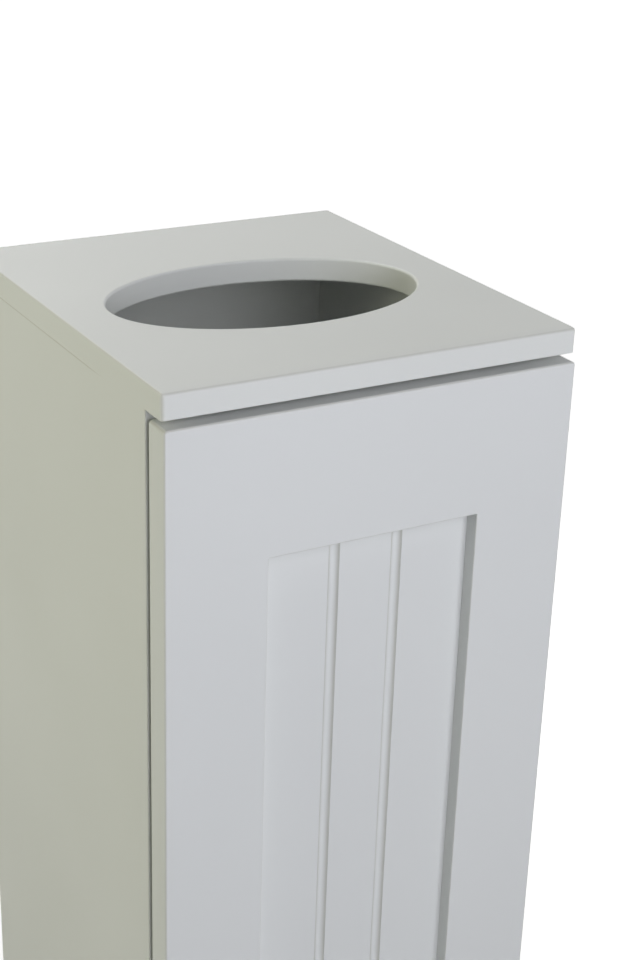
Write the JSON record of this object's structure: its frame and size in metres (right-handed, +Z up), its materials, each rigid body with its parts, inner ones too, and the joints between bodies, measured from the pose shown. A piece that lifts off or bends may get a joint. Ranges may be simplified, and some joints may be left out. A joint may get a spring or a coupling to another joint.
{
  "type": "toilet roll storage cabinet",
  "caption": "Slim free-standing bathroom cabinet with an oval paper slot in its top, a shelf for the roll under it, and a framed, grooved door that swings on side hinges.",
  "frame": {"origin": "on the floor, in the middle of the back panel's foot, where the cabinet stands against a wall", "axes": "+Z is up, +Y points to the rear, so the door faces -Y, and +X is the cabinet's right as seen from the front"},
  "size_m": [0.1843, 0.2231, 0.66],
  "materials": {
    "cabinet_paint": "satin white paint on fibreboard",
    "door_paint": "satin white paint on fibreboard",
    "beech": "bare",
    "zinc_plated_steel": "zinc plated",
    "brushed_nickel": "satin nickel plated",
    "white_plastic": "moulded",
    "ferrite": "sintered, dark",
    "soft_rubber": "translucent white, soft"
  },
  "bodies": {
    "carcass": {"top_board": "cabinet_paint", "left_side": "cabinet_paint", "right_side": "cabinet_paint", "back_panel": "cabinet_paint", "base_board": "cabinet_paint", "plinth": "cabinet_paint", "roll_shelf": "cabinet_paint", "storage_shelf": "cabinet_paint", "shelf_pins": "zinc_plated_steel", "wood_dowels": "beech", "cam_bolts": "zinc_plated_steel", "cam_locks": "zinc_plated_steel", "catch_housing": "white_plastic", "catch_magnet": "ferrite", "catch_poles": "zinc_plated_steel", "catch_screws": "zinc_plated_steel", "hinge_upper_frame_leaf": "brushed_nickel", "hinge_upper_pin": "brushed_nickel", "hinge_lower_frame_leaf": "brushed_nickel", "hinge_lower_pin": "brushed_nickel", "hinge_frame_screws": "brushed_nickel"},
    "door": {"door_left_stile": "door_paint", "door_right_stile": "door_paint", "door_top_rail": "door_paint", "door_bottom_rail": "door_paint", "door_panel": "door_paint", "door_knob": "brushed_nickel", "knob_screw": "zinc_plated_steel", "door_bumpers": "soft_rubber", "strike_plate": "zinc_plated_steel", "strike_screw": "zinc_plated_steel", "hinge_upper_door_leaf": "brushed_nickel", "hinge_lower_door_leaf": "brushed_nickel", "hinge_door_screws": "brushed_nickel"}
  },
  "joints": [
    {"name": "door_hinge", "type": "hinge", "parent": "carcass", "child": "door", "pos_m": [0.0923, -0.17865, 0.34325], "axis": [0, 0, 1], "range_deg": [0, 180]}
  ]
}
